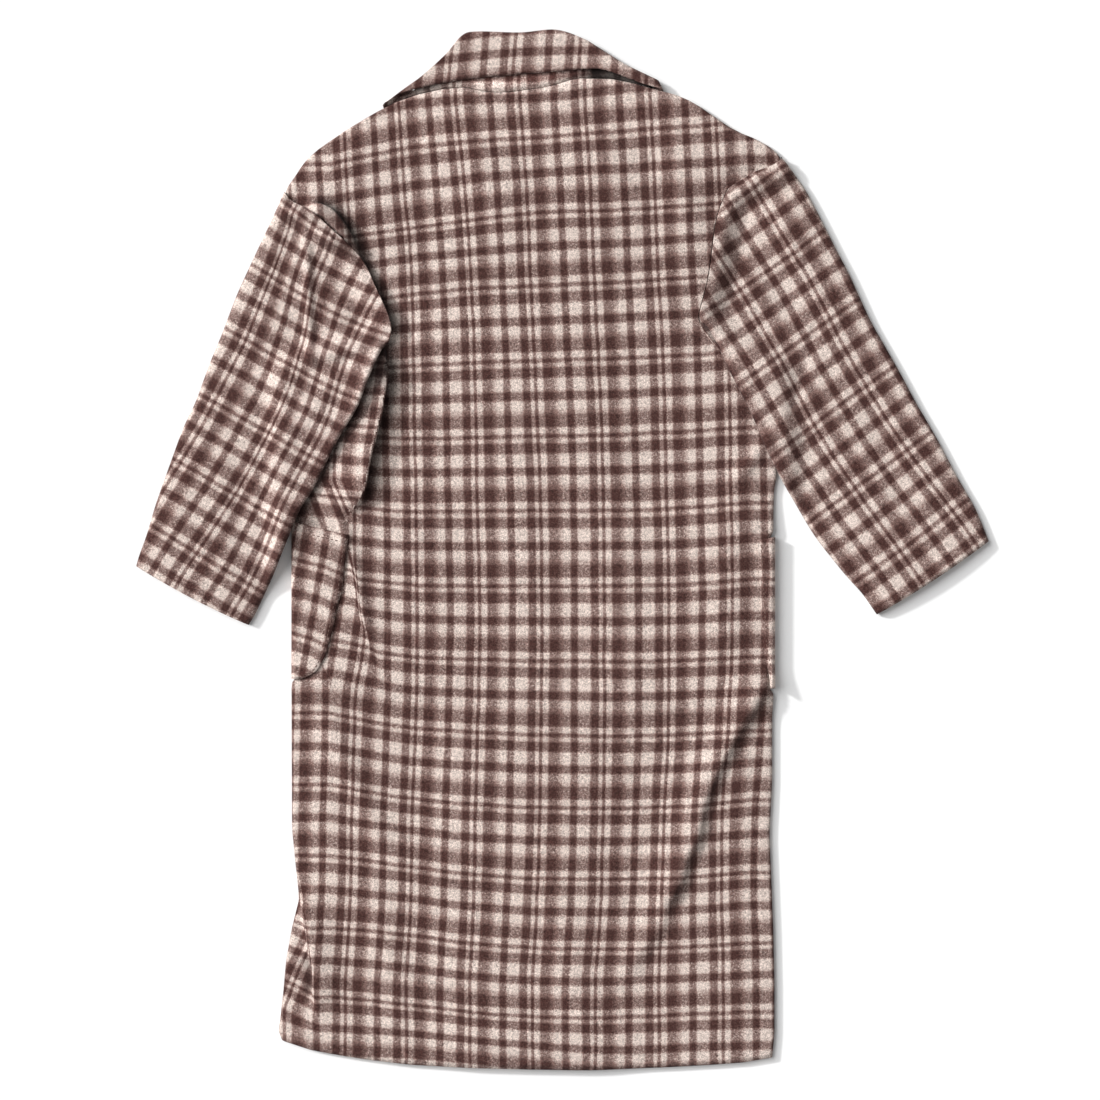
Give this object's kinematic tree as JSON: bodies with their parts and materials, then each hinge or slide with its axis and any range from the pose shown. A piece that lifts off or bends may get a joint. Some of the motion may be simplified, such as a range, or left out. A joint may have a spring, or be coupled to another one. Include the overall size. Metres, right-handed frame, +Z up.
{
  "type": "plaid wool coat laid flat",
  "caption": "Long plaid wool coat laid flat on its front, back up, with a turned-down collar, dropped shoulders and wide sleeves spread down its sides.",
  "frame": {"origin": "middle of the coat's bounding box, on the surface it lies on", "axes": "+Z up out of the surface, +Y from the hem to the collar, +X towards the wearer's right side, which is on the viewer's right"},
  "size_m": [0.94, 1.1455, 0.0238],
  "materials": {
    "wool_plaid": "brushed wool, brown and cream check",
    "wool_stand": "brushed wool, brown and cream check, in the shade of the collar"
  },
  "bodies": {
    "root": {"back_panel": "wool_plaid", "front_left": "wool_plaid", "front_right": "wool_plaid", "sleeve_left": "wool_plaid", "sleeve_right": "wool_plaid", "collar_leaf": "wool_plaid", "collar_stand": "wool_stand", "pocket_left": "wool_plaid", "pocket_right": "wool_plaid"}
  },
  "joints": []
}
